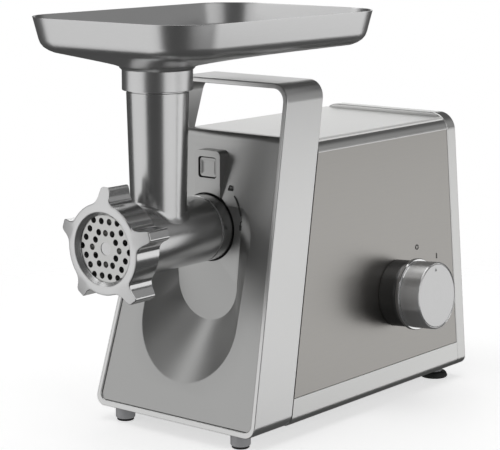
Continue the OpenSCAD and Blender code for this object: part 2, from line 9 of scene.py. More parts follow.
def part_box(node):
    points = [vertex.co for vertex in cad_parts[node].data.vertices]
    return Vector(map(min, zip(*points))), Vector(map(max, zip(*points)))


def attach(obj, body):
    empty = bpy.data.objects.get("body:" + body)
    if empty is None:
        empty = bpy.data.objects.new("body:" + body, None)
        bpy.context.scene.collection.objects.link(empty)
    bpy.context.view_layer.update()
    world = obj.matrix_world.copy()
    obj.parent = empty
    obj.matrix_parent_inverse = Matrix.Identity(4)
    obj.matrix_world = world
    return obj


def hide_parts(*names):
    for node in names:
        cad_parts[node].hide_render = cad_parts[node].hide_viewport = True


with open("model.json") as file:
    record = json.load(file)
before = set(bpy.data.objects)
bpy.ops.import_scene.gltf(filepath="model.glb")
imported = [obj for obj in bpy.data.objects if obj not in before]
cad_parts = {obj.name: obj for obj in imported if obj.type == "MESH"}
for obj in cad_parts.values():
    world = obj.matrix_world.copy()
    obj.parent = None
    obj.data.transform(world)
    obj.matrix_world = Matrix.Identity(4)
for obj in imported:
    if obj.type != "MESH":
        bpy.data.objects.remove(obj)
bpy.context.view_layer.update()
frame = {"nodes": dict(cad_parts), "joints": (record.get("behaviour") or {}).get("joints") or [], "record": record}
record = frame["record"]
joints = {j["name"]: j for j in frame["joints"]}
mm = 0.001

# Places read from the frame. The drive joint gives the middle, the port's face and the axis height.
midX, portY, axisZ = joints["feed_screw_turn"]["pos_m"]
knobPlace = Vector(joints["knob_turn"]["pos_m"])
knobAxis = Vector(joints["knob_turn"]["axis"])
sideSlope = knobAxis.z / knobAxis.x
archLow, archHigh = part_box("arch_frame")
shellLow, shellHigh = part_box("housing_shell")
rearLow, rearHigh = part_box("rear_frame")
fasciaLow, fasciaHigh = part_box("front_fascia")
plateLow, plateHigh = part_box("cutting_plate")
nutLow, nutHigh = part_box("ring_nut")
headLow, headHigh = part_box("head_casting")
trayLow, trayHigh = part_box("tray")
topLow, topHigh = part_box("top_plate")
panelLow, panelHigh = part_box("side_panel_right")

band = {"thick": 4.5 * mm, "depth": 47 * mm, "gap": 0.4 * mm}
frontSlope = (archHigh.y - archLow.y - band["depth"]) / (archHigh.z - archLow.z)
tubeY = trayLow.y + 68.5 * mm


def halfWidth(z):
    return knobPlace.x - midX + (knobPlace.z - z) * sideSlope


def frontY(z):
    return archLow.y + (z - archLow.z) * frontSlope


# ---- shader building

class Wire:
    def __init__(self, graph, socket):
        self.graph = graph
        self.socket = socket

    def maths(self, operation, first, second=0.0):
        return self.graph.add("ShaderNodeMath", {"operation": operation}, [first, second])

    def __add__(self, other):
        return self.maths("ADD", self, other)

    def __radd__(self, other):
        return self.maths("ADD", other, self)

    def __sub__(self, other):
        return self.maths("SUBTRACT", self, other)

    def __rsub__(self, other):
        return self.maths("SUBTRACT", other, self)

    def __mul__(self, other):
        return self.maths("MULTIPLY", self, other)

    def __rmul__(self, other):
        return self.maths("MULTIPLY", other, self)

    def __pow__(self, other):
        return self.maths("POWER", self, other)


class Graph:
    def __init__(self, tree):
        self.tree = tree
        tree.nodes.clear()

    def add(self, kind, settings=None, sockets=None, out=0):
        node = self.tree.nodes.new(kind)
        for key, value in (settings or {}).items():
            setattr(node, key, value)
        pairs = sockets.items() if isinstance(sockets, dict) else enumerate(sockets or [])
        for key, value in pairs:
            self.join(node.inputs[key], value)
        if isinstance(out, tuple):
            return [Wire(self, node.outputs[k]) for k in out]
        return Wire(self, node.outputs[out]) if node.outputs else None

    def join(self, target, value):
        if isinstance(value, Wire):
            self.tree.links.new(value.socket, target)
        elif target.type == "RGBA":
            target.default_value = (*value[:3], 1)
        else:
            target.default_value = value


# Outputs taken by number: Texture Coordinate's Object, Geometry's Normal and Pointiness
objectSpace, surfaceNormal, pointiness = 3, 1, 7
bumpReach = 0.0002


def newMaterial(name):
    made = bpy.data.materials.new(name)
    made.use_nodes = True
    return made, Graph(made.node_tree)


def surface(graph, sockets):
    shader = graph.add("ShaderNodeBsdfPrincipled", None, sockets)
    graph.add("ShaderNodeOutputMaterial", None, [shader])


def tint(colour, factor):
    return tuple(min(1.0, c * factor) for c in colour)


def shadeBetween(graph, factor, dark, light):
    return graph.add("ShaderNodeMix", {"data_type": "RGBA"}, {0: factor, 6: dark, 7: light}, 2)


def grain(graph, stretch, scale, detail=3.0):
    spot = graph.add("ShaderNodeTexCoord", None, None, objectSpace)
    laid = graph.add("ShaderNodeMapping", None, {"Vector": spot, "Scale": stretch})
    return graph.add("ShaderNodeTexNoise", None, {"Vector": laid, "Scale": scale, "Detail": detail})


# Metal with a directional or an even grain, faint smears and slightly brighter worn edges
def metal(name, colour, rough, stretch=(1, 1, 1), grainScale=900, grainDepth=0.05,
          toneRange=0.06, roughRange=0.08):
    made, graph = newMaterial(name)
    wear = {"smearScale": 14.0, "start": 0.5, "full": 0.62, "strength": 0.25}
    fine = grain(graph, stretch, grainScale)
    broad = grain(graph, (1, 1, 1), wear["smearScale"], 2.0)
    edge = graph.add("ShaderNodeNewGeometry", None, None, pointiness)
    worn = graph.add("ShaderNodeMapRange", None, {
        "Value": edge, "From Min": wear["start"], "From Max": wear["full"],
        "To Min": 0.0, "To Max": wear["strength"]})
    tone = fine * 0.5 + broad * 0.5 + worn
    base = shadeBetween(graph, tone, tint(colour, 1 - toneRange), tint(colour, 1 + toneRange))
    roughness = rough - roughRange / 2 + (fine * 0.6 + broad * 0.4) * roughRange - worn * 0.1
    bump = graph.add("ShaderNodeBump", None, {"Strength": grainDepth, "Distance": bumpReach, "Height": fine})
    surface(graph, {"Base Color": base, "Metallic": 1.0, "Roughness": roughness, "Normal": bump})
    return made


# Moulded plastic or rubber: fine spark texture, dusty tone changes
def moulded(name, colour, rough, depth=0.15, pebble=1400):
    made, graph = newMaterial(name)
    fine = grain(graph, (1, 1, 1), pebble)
    broad = grain(graph, (1, 1, 1), 30, 2.0)
    base = shadeBetween(graph, fine * 0.4 + broad * 0.6, tint(colour, 0.85), tint(colour, 1.2))
    bump = graph.add("ShaderNodeBump", None, {"Strength": depth, "Distance": bumpReach, "Height": fine})
    surface(graph, {"Base Color": base, "Roughness": rough + (broad - 0.5) * 0.15, "Normal": bump})
    return made


# Turned metal: rings round the local Z axis on flat ends, lines round the sides
def turned(name, colour, rough, ringScale, depth=0.06, toneRange=0.08, streak=0.0):
    made, graph = newMaterial(name)
    spot = graph.add("ShaderNodeTexCoord", None, None, objectSpace)
    x, y, z = graph.add("ShaderNodeSeparateXYZ", None, [spot], (0, 1, 2))
    reach = (x * x + y * y) ** 0.5
    along = graph.add("ShaderNodeCombineXYZ", None, [reach, z, 0.0])
    rings = graph.add("ShaderNodeTexNoise", None, {"Vector": along, "Scale": ringScale, "Detail": 4.0})
    broad = grain(graph, (1, 1, 1), 25, 2.0)
    tone = rings * 0.7 + broad * 0.3
    base = shadeBetween(graph, tone, tint(colour, 1 - toneRange), tint(colour, 1 + toneRange))
    bump = graph.add("ShaderNodeBump", None, {"Strength": depth, "Distance": bumpReach, "Height": rings})
    surface(graph, {"Base Color": base, "Metallic": 1.0, "Roughness": rough + (rings - 0.5) * 0.1,
                    "Normal": bump, "Anisotropic": streak, "Anisotropic Rotation": 0.25})
    return made


# The ring nut: satin on the face that points forward, polished round the sides; that face also gets a lighter base
# colour, a painted highlight
def nutMetal(name, colour):
    made, graph = newMaterial(name)
    fine = grain(graph, (1, 1, 1), 1500)
    broad = grain(graph, (1, 1, 1), 20, 2.0)
    facing = graph.add("ShaderNodeNewGeometry", None, None, surfaceNormal)
    ahead = graph.add("ShaderNodeSeparateXYZ", None, [facing], 1)
    front = graph.add("ShaderNodeMapRange", None,
                      {"Value": ahead, "From Min": -0.9, "From Max": -0.5, "To Min": 1.0, "To Max": 0.0})
    # Painted highlight: the forward-facing mask lightens the base colour as well as making the face rougher
    tone = fine * 0.3 + broad * 0.3 + front * 0.4
    base = shadeBetween(graph, tone, tint(colour, 0.9), tint(colour, 1.1))
    roughness = 0.16 + front * 0.26 + (fine - 0.5) * 0.06
    bump = graph.add("ShaderNodeBump", None, {"Strength": 0.06, "Distance": bumpReach, "Height": fine})
    surface(graph, {"Base Color": base, "Metallic": 1.0, "Roughness": roughness, "Normal": bump})
    return made


finishes = {
    "archSatin": metal("archSatin", (0.74, 0.74, 0.735), 0.36, grainScale=1600, grainDepth=0.08),
    "railSatin": metal("railSatin", (0.70, 0.70, 0.69), 0.34, grainScale=1600, grainDepth=0.08),
    "fasciaSatin": metal("fasciaSatin", (0.43, 0.43, 0.425), 0.36, grainScale=1800, grainDepth=0.06),
    "panelBrushed": metal("panelBrushed", (0.40, 0.388, 0.37), 0.34, stretch=(1, 0.02, 1),
                          grainScale=1500, grainDepth=0.12, toneRange=0.07),
    "topBrushed": metal("topBrushed", (0.5, 0.5, 0.49), 0.32, stretch=(1, 0.02, 1),
                        grainScale=1500, grainDepth=0.1),
    "headPolished": metal("headPolished", (0.62, 0.62, 0.62), 0.25, grainScale=700, grainDepth=0.03,
                          roughRange=0.06),
    "trayPolished": metal("trayPolished", (0.64, 0.64, 0.64), 0.3, stretch=(0.3, 0.3, 3),
                          grainScale=500, grainDepth=0.03),
    "nutMetal": nutMetal("nutMetal", (0.72, 0.72, 0.72)),
    "plateGround": metal("plateGround", (0.62, 0.62, 0.61), 0.38, grainScale=1100, grainDepth=0.18,
                         toneRange=0.1),
    "knobDark": turned("knobDark", (0.2, 0.2, 0.2), 0.34, 900),
    "knobBrushed": turned("knobBrushed", (0.92, 0.92, 0.92), 0.36, 1200, streak=0.85),
    "knobFace": turned("knobFace", (0.62, 0.62, 0.62), 0.3, 1200),
    "knobEdge": turned("knobEdge", (0.85, 0.85, 0.85), 0.12, 600, 0.02),
    "darkPlastic": moulded("darkPlastic", (0.035, 0.035, 0.036), 0.5),
    "greyPlastic": moulded("greyPlastic", (0.30, 0.30, 0.31), 0.42),
    "rubber": moulded("rubber", (0.012, 0.012, 0.012), 0.65),
    "printInk": moulded("printInk", (0.03, 0.03, 0.03), 0.45, 0.03),
    "steel": metal("steel", (0.52, 0.52, 0.51), 0.3),
    "rawCast": metal("rawCast", (0.33, 0.33, 0.34), 0.5, grainScale=500, grainDepth=0.3),
    "laminations": metal("laminations", (0.10, 0.10, 0.11), 0.5, stretch=(0.1, 8, 0.1), grainScale=400),
    "bronze": metal("bronze", (0.55, 0.40, 0.20), 0.38),
    "copper": metal("copper", (0.70, 0.36, 0.20), 0.3),
    "nylon": moulded("nylon", (0.72, 0.70, 0.60), 0.45),
    "board": moulded("board", (0.02, 0.12, 0.04), 0.35, 0.05),
}

finishOfSlot = {
    "housing_shell": "railSatin", "front_fascia": "fasciaSatin", "arch_frame": "archSatin",
    "rear_frame": "railSatin", "rear_panel": "darkPlastic", "side_panels": "panelBrushed",
    "top_plate": "topBrushed", "base_plate": "darkPlastic", "feet": "greyPlastic",
    "foot_pads": "rubber", "screws": "steel", "socket": "headPolished", "gasket": "rubber",
    "gland": "rubber", "gear_case": "rawCast", "steel": "steel", "bronze": "bronze",
    "laminations": "laminations", "copper": "copper", "black_plastic": "darkPlastic",
    "board": "board", "knob_dark": "knobDark", "knob_light": "knobBrushed",
    "knob_bright": "knobEdge", "nylon": "nylon", "head_metal": "headPolished",
    "plate_metal": "plateGround", "nut_metal": "nutMetal", "tray_metal": "trayPolished",
}
slotOfNode = {s["node"]: s["material_slot"] for s in record["subparts"]}
for nodeName, cadPiece in frame["nodes"].items():
    cadPiece.data.materials.clear()
    cadPiece.data.materials.append(finishes[finishOfSlot[slotOfNode[nodeName]]])
print("finishes ready")


# ---- mesh helpers

def meshPiece(name, points, faces, place=None):
    data = bpy.data.meshes.new(name)
    data.from_pydata([tuple(p) for p in points], [], faces)
    data.update()
    piece = bpy.data.objects.new(name, data)
    bpy.context.scene.collection.objects.link(piece)
    work = bmesh.new()
    work.from_mesh(data)
    bmesh.ops.recalc_face_normals(work, faces=work.faces)
    work.to_mesh(data)
    work.free()
    if place is not None:
        piece.matrix_world = place
    return piece


# A stack of closed rings, each a list of points, capped at both ends or joined into a torus
def ringStack(name, rings, closed=False, place=None):
    count = len(rings[0])
    points = [p for ring in rings for p in ring]
    faces = []
    for r in range(len(rings) if closed else len(rings) - 1):
        here, there = r * count, (r + 1) % len(rings) * count
        faces += [(here + i, here + (i + 1) % count, there + (i + 1) % count, there + i)
                  for i in range(count)]
    if not closed:
        faces.append(tuple(range(count)))
        faces.append(tuple(range(len(points) - count, len(points))))
    return meshPiece(name, points, faces, place)


# Cosine and sine of evenly spaced turns round a circle
def roundTurns(steps):
    return [(math.cos(2 * math.pi * i / steps), math.sin(2 * math.pi * i / steps)) for i in range(steps)]


def lathe(name, profile, place=None):
    rings = [[(radius * c, radius * s, along) for c, s in roundTurns(128)] for radius, along in profile]
    return ringStack(name, rings, True, place)


def arc(centre, radius, start, end, steps):
    turns = [math.radians(start + (end - start) * i / steps) for i in range(steps + 1)]
    return [(centre[0] + radius * math.cos(t), centre[1] + radius * math.sin(t)) for t in turns]


# Outline of the body's cross section in X and Z, anticlockwise from the lower right corner
def bodyOutline(low, high, inset, lowRadius, highRadius, steps=10):
    tilt = math.degrees(math.atan(sideSlope))
    lean = math.hypot(1, sideSlope)
    outline = []
    for side, level, radius, start, end in (
            (1, low, lowRadius, -90, tilt), (1, high, highRadius, tilt, 90),
            (-1, high, highRadius, 90, 180 - tilt), (-1, low, lowRadius, 180 - tilt, 270)):
        z = level + radius if level == low else level - radius
        x = side * (halfWidth(z) - inset - radius * lean)
        outline += arc((midX + x, z), radius, start, end, steps)
    return outline


def evaluated(piece):
    graph = bpy.context.evaluated_depsgraph_get()
    return bpy.data.meshes.new_from_object(piece.evaluated_get(graph), depsgraph=graph)


# Cuts or joins with the exact solver, keeps the result as plain mesh and drops the tool
def carve(piece, tool, operation="DIFFERENCE"):
    step = piece.modifiers.new("carve", "BOOLEAN")
    step.operation, step.object, step.solver = operation, tool, "EXACT"
    result = evaluated(piece)
    piece.modifiers.clear()
    piece.data = result
    bpy.data.objects.remove(tool)
    return piece


def soften(piece, width, angle=32, segments=3):
    for polygon in piece.data.polygons:
        polygon.use_smooth = True
    if width:
        edge = piece.modifiers.new("edges", "BEVEL")
        edge.width, edge.segments, edge.limit_method = width, segments, "ANGLE"
        edge.angle_limit = math.radians(angle)
        edge.use_clamp_overlap = True
        piece.data = evaluated(piece)
        piece.modifiers.clear()
        for polygon in piece.data.polygons:
            polygon.use_smooth = True
    piece.data.set_sharp_from_angle(angle=math.radians(angle))
    even = piece.modifiers.new("normals", "WEIGHTED_NORMAL")
    even.keep_sharp = True
    return piece


def dress(piece, body, slotName, stands=(), finish=None):
    piece.data.materials.clear()
    piece.data.materials.append(finishes[finish or finishOfSlot[slotName]])
    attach(piece, body)
    if stands:
        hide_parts(*stands)
    return piece


def barAlongY(name, x, z, low, high, radius):
    return ringStack(name, [[(x + radius * c, y, z + radius * s) for c, s in roundTurns(128)]
                            for y in (low, high)])


# A rectangle with rounded corners in X and Z, anticlockwise from the upper right corner
def softRectangle(half, low, high, radius, steps):
    outline = []
    for side, top, start in ((1, True, 0), (-1, True, 90), (-1, False, 180), (1, False, 270)):
        level = high - radius if top else low + radius
        outline += arc((midX + side * (half - radius), level), radius, start, start + 90, steps)
    return outline


def blockBetween(name, low, high):
    corners = [(low[0], low[1]), (high[0], low[1]), (high[0], high[1]), (low[0], high[1])]
    return ringStack(name, [[(x, y, z) for x, y in corners] for z in (low[2], high[2])])


# ---- casing

def makeArch():
    outer = bodyOutline(archLow.z, archHigh.z, 0, 9 * mm, 16 * mm)
    inner = bodyOutline(archLow.z + band["thick"], archHigh.z - band["thick"] + 0.5 * mm,
                        band["thick"], 6 * mm, 12 * mm)
    rings = [[(x, frontY(z), z) for x, z in outer], [(x, frontY(z) + band["depth"], z) for x, z in outer],
             [(x, frontY(z) + band["depth"], z) for x, z in inner], [(x, frontY(z), z) for x, z in inner]]
    arch = ringStack("archFrame", rings, closed=True)
    dress(soften(arch, 1.1 * mm), "base", "arch_frame", ["arch_frame"])


def makeHousing():
    panel = {"low": panelLow.z - 0.4 * mm, "high": panelHigh.z + 0.4 * mm, "deep": 1.8 * mm}
    half = (topHigh.x - topLow.x) / 2 + 0.4 * mm
    top = {"half": half, "deep": 2.2 * mm}
    outline = bodyOutline(shellLow.z, shellHigh.z, 0, 7 * mm, 10 * mm, 12)
    quarter = len(outline) // 4
    notched = outline[:quarter]
    for side in (1, -1):
        levels = (panel["low"], panel["high"]) if side == 1 else (panel["high"], panel["low"])
        for z, first in ((levels[0], 0), (levels[1], panel["deep"])):
            step = (0, panel["deep"]) if first == 0 else (panel["deep"], 0)
            notched += [(midX + side * (halfWidth(z) - d), z) for d in step]
        if side == 1:
            notched += outline[quarter:2 * quarter]
            z = shellHigh.z
            notched += [(midX + top["half"], z), (midX + top["half"], z - top["deep"]),
                        (midX - top["half"], z - top["deep"]), (midX - top["half"], z)]
            notched += outline[2 * quarter:3 * quarter]
    notched += outline[3 * quarter:]
    rings = [[(x, frontY(z) + band["depth"] + band["gap"], z) for x, z in notched],
             [(x, shellHigh.y, z) for x, z in notched]]
    shell = ringStack("housingRails", rings)
    dress(soften(shell, 0.45 * mm), "base", "housing_shell", ["housing_shell"])


def makeRearFrame():
    outer = bodyOutline(rearLow.z, rearHigh.z, 0, 7 * mm, 16 * mm)
    inner = bodyOutline(rearLow.z + 6 * mm, rearHigh.z - 6 * mm, 6 * mm, 5 * mm, 10 * mm)
    rings = [[(x, y, z) for x, z in loop] for loop, y in (
        (outer, rearLow.y), (outer, rearHigh.y), (inner, rearHigh.y), (inner, rearLow.y))]
    rim = ringStack("rearFrame", rings, closed=True)
    dress(soften(rim, 1.6 * mm, segments=4), "base", "rear_frame", ["rear_frame"])


# Cross section of the fascia in Y and Z, front face up over the rolled top, then back down inside
def fasciaSection(inset, steps=10):
    lean = math.degrees(math.atan(frontSlope))
    roll = 7 * mm
    level = fasciaHigh.z - roll
    centre = (frontY(level) + 1.5 * mm + roll * math.hypot(1, frontSlope), level)
    low = fasciaLow.z + inset * 0.2
    foot = (frontY(low) + 1.5 * mm + inset * math.hypot(1, frontSlope), low)
    return [foot] + arc(centre, roll - inset, 180 - lean, 90, steps) + [
        (centre[0] + 4 * mm, fasciaHigh.z - inset)]


# One edge of the hollow: two sides of half widths given by height, joined by a half circle below
def scoopEdge(radius, centreZ, topZ, sideAt, steps=48):
    heights = [topZ + (centreZ - topZ) * (i / steps) ** 1.6 for i in range(steps + 1)]
    edge = [(-sideAt(z), z) for z in heights]
    curve = [(radius * math.cos(math.radians(a)), centreZ + radius * math.sin(math.radians(a)))
             for a in [180 + 180 * i / (2 * steps) for i in range(1, 2 * steps)]]
    return edge + curve + [(-x, z) for x, z in reversed(edge)]


def makeFascia():
    skin = {"sheet": 3 * mm, "proud": 1.5 * mm, "sink": 0.03 * mm}
    scoop = {"plateRadius": 30.5 * mm, "plateTop": 37 * mm, "plateZ": axisZ - 45 * mm,
             "mouthRadius": 49 * mm, "mouthZ": axisZ - 72 * mm, "topZ": axisZ + 24.2 * mm,
             "shoulderZ": axisZ - 13 * mm, "fillet": 1.1 * mm, "lip": 0.8 * mm, "margin": 1.5 * mm}
    boss = {"half": 13 * mm, "round": 4 * mm, "bottom": axisZ + 16 * mm, "top": axisZ + 61.5 * mm,
            "deep": 18 * mm}
    block = {"half": 58 * mm, "low": axisZ - 128 * mm, "high": axisZ + 24.5 * mm, "behind": 1.6 * mm,
             "deep": 3 * mm}
    pocket = {"half": 9.4 * mm, "low": axisZ + 39.4 * mm, "high": axisZ + 56.4 * mm, "round": 2.6 * mm,
              "deep": 8.2 * mm}
    portRadius = 27.8 * mm
    side = band["thick"] + band["gap"]
    section = fasciaSection(0) + fasciaSection(skin["sheet"])[::-1]
    slab = ringStack("frontFascia", [
        [(midX - halfWidth(z) + side, y, z) for y, z in section],
        [(midX + halfWidth(z) - side, y, z) for y, z in section]])

    low, high = block["low"], block["high"]
    back = portY + block["deep"]
    backing = ringStack("backing", [
        [(midX + x, frontY(low) + block["behind"], low), (midX + x, back, low),
         (midX + x, back, high), (midX + x, frontY(high) + block["behind"], high)]
        for x in (-block["half"], block["half"])])
    carve(slab, backing, "UNION")

    corner = boss["round"]
    hump = [(midX - boss["half"], boss["bottom"]), (midX + boss["half"], boss["bottom"])]
    hump += arc((midX + boss["half"] - corner, boss["top"] - corner), corner, 0, 90, 8)
    hump += arc((midX - boss["half"] + corner, boss["top"] - corner), corner, 90, 180, 8)
    carve(slab, ringStack("hump", [[(x, y, z) for x, z in hump]
                                   for y in (portY + 0.02 * mm, portY + boss["deep"])]), "UNION")

    def plateSide(z):
        share = ((scoop["topZ"] - z) / (scoop["topZ"] - scoop["plateZ"]))
        return scoop["plateRadius"] + (scoop["plateTop"] - scoop["plateRadius"]) * (1 - share)

    def mouthSide(z):
        rise = max(z - scoop["shoulderZ"], 0) / (scoop["topZ"] - scoop["shoulderZ"] + scoop["lip"])
        return scoop["mouthRadius"] * (1 - rise ** 3) ** (1 / 3)

    inner = scoopEdge(scoop["plateRadius"], scoop["plateZ"], scoop["topZ"], plateSide)
    outer = scoopEdge(scoop["mouthRadius"], scoop["mouthZ"], scoop["topZ"], mouthSide)
    above = axisZ - 20 * mm
    inner = [(math.copysign(min(abs(x), abs(wide) - scoop["margin"]), x) if z > above else x, z)
             for (x, z), (wide, _) in zip(inner, outer)]

    def bend(first, middle, last):
        return [first * (1 - t) ** 2 + middle * 2 * t * (1 - t) + last * t ** 2
                for t in (0, 0.25, 0.5, 0.75, 1)]

    reach = scoop["fillet"]
    paths = []
    for (ax, az), (bx, bz) in zip(inner, outer):
        start = Vector((midX + ax, portY, az))
        end = Vector((midX + bx, min(frontY(bz) + skin["proud"], portY - scoop["lip"]), bz))
        along = (end - start).normalized()
        away = Vector((bx - ax, 0, bz - az))
        away = away.normalized() if away.length > 0.1 * mm else Vector((bx, 0, 0)).normalized()
        rim = away + Vector((0, away.z * frontSlope, 0))
        low0, low2 = start - away * reach * 0.6, start + along * reach * 0.6
        high0 = end - along * reach
        high2 = end + rim.normalized() * reach + Vector((0, -skin["sink"], 0))
        path = bend(low0, start, low2)
        path += [low2.lerp(high0, t) for t in (0.25, 0.5, 0.75)]
        path += bend(high0, end, high2)
        paths.append(path + [high2 - Vector((0, 30 * mm, 0))])
    carve(slab, ringStack("hollow", [list(ring) for ring in zip(*paths)]))
    carve(slab, barAlongY("portHole", midX, axisZ, portY - 60 * mm, portY + 40 * mm, portRadius))
    outline = softRectangle(pocket["half"], pocket["low"], pocket["high"], pocket["round"], 6)
    carve(slab, ringStack("pocket", [[(x, y, z) for x, z in outline]
                                     for y in (portY - 5 * mm, portY + pocket["deep"])]))
    dress(soften(slab, 0.8 * mm, 40), "base", "front_fascia", ["front_fascia"])


def makeButton():
    face = {"half": 8.7 * mm, "low": axisZ + 40.0 * mm, "high": axisZ + 55.8 * mm, "round": 2.6 * mm,
            "front": portY + 1.3 * mm, "thick": 2.5 * mm, "dish": 1.3 * mm, "sharpest": 0.6 * mm}
    front = face["front"]
    rings = []
    for inset, y in ((0.0, front + face["thick"]), (0.0, front + 0.5 * mm), (0.5 * mm, front),
                     (2.2 * mm, front + 0.2 * mm), (4.0 * mm, front + face["dish"])):
        corner = max(face["round"] - inset, face["sharpest"])
        outline = softRectangle(face["half"] - inset, face["low"] + inset, face["high"] - inset, corner, 8)
        rings.append([(x, y, z) for x, z in outline])
    dress(soften(ringStack("releaseButton", rings), 0, 40), "release_button", "front_fascia",
          ["release_button"])


# ---- grinding head

def makeHead():
    head = {"flange": 32.5 * mm, "barrel": 26.5 * mm, "tube": 21.9 * mm, "tubeTop": 24.0 * mm,
            "mouth": 23.4 * mm, "screwBore": 22.5 * mm, "seat": 30.9 * mm, "feedBore": 20 * mm}
    barrelRadius, tubeRadius = head["barrel"], head["tube"]
    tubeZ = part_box("tray")[0].z - 0.4 * mm
    nutBack = nutHigh.y
    groove = portY - 12.7 * mm
    profile = [(0.01 * mm, headLow.y), (head["flange"], headLow.y), (head["flange"], nutBack - 1 * mm),
               (31 * mm, nutBack), (28.5 * mm, nutBack + 1.4 * mm), (barrelRadius, nutBack + 2.4 * mm),
               (barrelRadius, groove - 1.3 * mm), (barrelRadius - 0.7 * mm, groove - 0.7 * mm),
               (barrelRadius - 0.7 * mm, groove + 0.7 * mm), (barrelRadius, groove + 1.3 * mm),
               (barrelRadius, headHigh.y), (0.01 * mm, headHigh.y)]
    steps = 144
    turns = roundTurns(steps)
    casting = ringStack("grindingHead", [[(midX + r * c, y, axisZ + r * s) for c, s in turns]
                                         for r, y in profile])

    def uprightRing(radius, z):
        return [(midX + radius * c, tubeY + radius * s, z) for c, s in turns]

    tube = [(tubeRadius, axisZ + 2 * mm), (tubeRadius, axisZ + 30 * mm),
            (head["tubeTop"], tubeZ - 0.8 * mm), (head["tubeTop"] - 0.4 * mm, tubeZ),
            (head["mouth"], tubeZ + 0.2 * mm), (head["mouth"], headHigh.z)]
    carve(casting, ringStack("tube", [uprightRing(r, z) for r, z in tube]), "UNION")
    rib = {"half": 1.6 * mm, "front": tubeY + 15 * mm, "back": tubeY + 27.5 * mm,
           "low": axisZ + 20 * mm, "high": tubeZ - 6 * mm}
    carve(casting, blockBetween("rib", (midX - rib["half"], rib["front"], rib["low"]),
                                (midX + rib["half"], rib["back"], rib["high"])), "UNION")
    front = headLow.y - 1 * mm
    carve(casting, barAlongY("screwBore", midX, axisZ, front, portY - 10 * mm, head["screwBore"]))
    carve(casting, barAlongY("plateSeat", midX, axisZ, front, plateHigh.y, head["seat"]))
    carve(casting, ringStack("feedBore", [uprightRing(head["feedBore"], z)
                                          for z in (axisZ, headHigh.z + 5 * mm)]))
    dress(soften(casting, 0.5 * mm, 30), "head", "head_metal", ["head_casting"])

    reach = 4.5 * mm
    wide = tubeRadius + reach
    sweeps = 8
    points = []
    for k in range(sweeps + 1):
        t = k / sweeps
        for c, s in turns:
            seam = math.sqrt(barrelRadius ** 2 - (tubeRadius * c) ** 2)
            out = math.sqrt(max(barrelRadius ** 2 - (wide * c) ** 2, 0))
            top = Vector(((tubeRadius - 0.1 * mm) * c, (tubeRadius - 0.1 * mm) * s, seam + reach))
            bend = Vector((tubeRadius * c, tubeRadius * s, seam))
            low = Vector((wide * c, wide * s, out - 0.1 * mm))
            if wide * abs(c) > barrelRadius * 0.98:
                low = Vector((barrelRadius * 0.98 * math.copysign(1, c), wide * s, barrelRadius * 0.19))
            p = top * (1 - t) ** 2 + bend * 2 * t * (1 - t) + low * t ** 2
            points.append((midX + p.x, tubeY + p.y, axisZ + p.z))
    faces = [(k * steps + i, k * steps + (i + 1) % steps, (k + 1) * steps + (i + 1) % steps,
              (k + 1) * steps + i) for k in range(sweeps) for i in range(steps)]
    dress(soften(meshPiece("tubeFillet", points, faces), 0), "head", "head_metal")


def makeRingNut():
    nut = {"radius": 35 * mm, "face": 33 * mm, "slope": 0.32, "lugs": 5, "mouth": 28.5 * mm,
           "throat": 25.2 * mm, "depth": 3.9 * mm, "bore": 32.6 * mm}
    lug = [(10.5, -1.6), (8.6, -0.7), (7.2, 0.7), (6.1, 2.8), (5.3, 5.2), (4.8, 8.2), (4.2, 10.6),
           (3.0, 11.7)]
    lug = [(-across, out) for across, out in lug] + lug[::-1]
    outline = []
    for n in range(nut["lugs"]):
        turn = math.radians(90 - n * 360 / nut["lugs"])
        for across, out in lug:
            radius = nut["radius"] + out * mm
            outline.append((radius * math.cos(turn) + across * mm * math.sin(turn),
                            radius * math.sin(turn) - across * mm * math.cos(turn)))
        start = math.degrees(turn) - 19
        for i in range(1, 12):
            a = math.radians(start - 34 * i / 12)
            outline.append((nut["radius"] * math.cos(a), nut["radius"] * math.sin(a)))

    # Each point of the outline moved onto a circle, or left in place, at one depth
    def ringAt(y, circle=None):
        ring = []
        for x, z in outline:
            size = math.hypot(x, z)
            reach = circle or size
            depth = nutLow.y + max(reach - nut["face"], 0) * nut["slope"] if y is None else y
            ring.append((midX + x / size * reach, depth, axisZ + z / size * reach))
        return ring

    throatY = nutLow.y + nut["depth"]
    rings = [ringAt(nutHigh.y), ringAt(None), ringAt(None, nut["face"]), ringAt(nutLow.y, nut["mouth"]),
             ringAt(throatY, nut["throat"]), ringAt(throatY, nut["bore"]), ringAt(nutHigh.y, nut["bore"])]
    dress(soften(ringStack("ringNut", rings, closed=True), 0.7 * mm, 25, 4), "ring_nut", "nut_metal",
          ["ring_nut"])


def makePlate():
    plate = {"outerPitch": 8 * mm, "innerPitch": 6.9 * mm, "hole": 2.5 * mm, "centre": 5.06 * mm}
    radius = 30.8 * mm
    disc = barAlongY("cuttingPlate", midX, axisZ, plateLow.y, plateHigh.y, radius)
    spots = [(0.0, 0.0, plate["centre"])]
    for i in range(-3, 4):
        for j in range(-3, 4):
            rank = max(abs(i), abs(j), abs(i + j))
            if rank in (2, 3):
                pitch = plate["outerPitch"] if rank == 3 else plate["innerPitch"]
                spots.append((pitch * (i + j / 2), pitch * j * math.sin(math.radians(60)), plate["hole"]))
    points, faces = [], []
    steps = 32
    for x, z, r in spots:
        base = len(points)
        for y in (plateLow.y - 1 * mm, plateHigh.y + 1 * mm):
            points += [(midX + x + r * c, y, axisZ + z + r * s) for c, s in roundTurns(steps)]
        faces += [(base + k, base + (k + 1) % steps, base + steps + (k + 1) % steps, base + steps + k)
                  for k in range(steps)]
        faces += [tuple(range(base, base + steps)), tuple(range(base + steps, base + 2 * steps))]
    carve(disc, meshPiece("drills", points, faces))
    dress(soften(disc, 0.25 * mm, 40, 2), "head", "plate_metal", ["cutting_plate"])


# ---- tray

